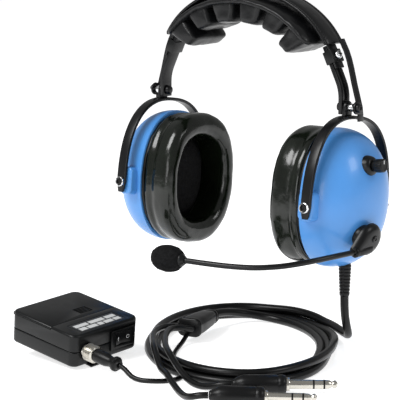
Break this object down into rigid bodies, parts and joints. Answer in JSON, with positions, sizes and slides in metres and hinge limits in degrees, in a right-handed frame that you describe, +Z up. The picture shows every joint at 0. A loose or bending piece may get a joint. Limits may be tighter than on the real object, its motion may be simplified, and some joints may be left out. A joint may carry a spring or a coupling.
{
  "type": "aviation headset",
  "caption": "Over-ear aviation headset with boom microphone, sprung padded headband, coiled cord with two plugs, and a battery module.",
  "frame": {"origin": "midway between the faces of the two ear seals, where the wearer's head holds it", "axes": "+Z up, +X towards the left ear cup (the one with the microphone), -Y the way the wearer faces"},
  "size_m": [0.269, 0.2259, 0.2601],
  "materials": {
    "blue_shell": "satin moulded plastic, fine orange-peel",
    "seal_vinyl": "glossy soft vinyl skin over foam",
    "pad_leatherette": "soft leatherette, low gloss",
    "foam": "open-cell foam",
    "chrome_screws": "polished",
    "brass": "polished",
    "black_steel": "satin black paint",
    "speaker_steel": "plain",
    "cord_rubber": "smooth, semi-gloss",
    "circuit_board": "solder mask",
    "battery_case": "printed sleeve",
    "label": "recessed printed plate",
    "black_plastic": "fine moulded texture"
  },
  "bodies": {
    "left_cup": {"left_cup_shell": "blue_shell", "left_ear_seal": "seal_vinyl", "left_baffle": "black_plastic", "left_speaker": "speaker_steel", "left_acoustic_foam": "foam", "left_front_pivot_screw": "chrome_screws", "left_rear_pivot_screw": "chrome_screws", "amplifier_board": "circuit_board", "volume_control": "black_plastic", "boom_base": "black_plastic", "strain_relief": "cord_rubber", "main_cord": "cord_rubber", "cord_coil": "cord_rubber", "y_block": "cord_rubber", "phones_cord": "cord_rubber", "phones_plug_grip": "cord_rubber", "phones_plug_finger": "brass", "mic_cord": "cord_rubber", "mic_plug_grip": "cord_rubber", "mic_plug_finger": "brass", "module_lead": "cord_rubber", "module_plug": "cord_rubber", "coupling_nut": "chrome_screws", "module_socket": "brass", "module_case_bottom": "black_plastic", "module_case_top": "black_plastic", "label_plate": "label", "battery": "battery_case", "module_board": "circuit_board", "belt_clip": "black_steel", "switch_bezel": "black_plastic"},
    "volume_knob": {"volume_knob": "black_plastic"},
    "boom": {"boom_swivel": "black_plastic", "mic_boom": "black_steel", "mic_capsule": "black_plastic", "mic_windscreen": "foam"},
    "battery_door": {"battery_door": "black_plastic"},
    "rocker_switch": {"rocker_switch": "black_plastic"},
    "left_yoke": {"left_yoke": "black_steel"},
    "left_arm": {"left_slide_bar": "black_steel", "left_outer_strap": "black_steel", "left_arm_bolt": "chrome_screws"},
    "headband": {"headband_spring": "black_steel", "headband_cover": "pad_leatherette", "head_pad": "pad_leatherette", "left_slide_clamp": "black_plastic", "right_slide_clamp": "black_plastic", "left_clamp_screw": "chrome_screws", "right_clamp_screw": "chrome_screws"},
    "right_arm": {"right_slide_bar": "black_steel", "right_outer_strap": "black_steel", "right_arm_bolt": "chrome_screws"},
    "right_yoke": {"right_yoke": "black_steel"},
    "right_cup": {"right_cup_shell": "blue_shell", "right_ear_seal": "seal_vinyl", "right_baffle": "black_plastic", "right_speaker": "speaker_steel", "right_acoustic_foam": "foam", "right_front_pivot_screw": "chrome_screws", "right_rear_pivot_screw": "chrome_screws"}
  },
  "joints": [
    {"name": "left_cup_pivot", "type": "hinge", "parent": "left_cup", "child": "left_yoke", "pos_m": [0.087, -0.00073, -0.00596], "axis": [0, 0.9925, -0.1219], "range_deg": [-10, 10]},
    {"name": "left_arm_swing", "type": "hinge", "parent": "left_yoke", "child": "left_arm", "pos_m": [0.087, 0, 0.066], "axis": [1, 0, 0], "range_deg": [-12, 12]},
    {"name": "left_slide", "type": "slide", "parent": "left_arm", "child": "headband", "axis": [-0.4384, 0, 0.8988], "range_m": [-0.004, 0.01]},
    {"name": "right_slide", "type": "slide", "parent": "headband", "child": "right_arm", "axis": [-0.4384, 0, -0.8988], "range_m": [-0.004, 0.01]},
    {"name": "right_arm_swing", "type": "hinge", "parent": "right_arm", "child": "right_yoke", "pos_m": [-0.087, 0, 0.066], "axis": [1, 0, 0], "range_deg": [-12, 12]},
    {"name": "right_cup_pivot", "type": "hinge", "parent": "right_yoke", "child": "right_cup", "pos_m": [-0.087, -0.00073, -0.00596], "axis": [0, 0.9925, -0.1219], "range_deg": [-10, 10]},
    {"name": "boom_hinge", "type": "hinge", "parent": "left_cup", "child": "boom", "pos_m": [0.1092, -0.01136, -0.02278], "axis": [0.9563, -0.0356, -0.2902], "range_deg": [-50, 15]},
    {"name": "volume_knob_turn", "type": "hinge", "parent": "left_cup", "child": "volume_knob", "pos_m": [0.109, -0.00263, 0.02621], "axis": [0.9925, 0.0149, 0.121], "range_deg": [-135, 135]},
    {"name": "battery_door_slide", "type": "slide", "parent": "left_cup", "child": "battery_door", "axis": [-0.9897, 0.0346, 0.1392], "range_m": [0, 0.045]},
    {"name": "rocker_switch_tilt", "type": "hinge", "parent": "left_cup", "child": "rocker_switch", "pos_m": [-0.02211, -0.1215, -0.09586], "axis": [0.1371, -0.0572, 0.9889], "range_deg": [-6, 6]}
  ]
}
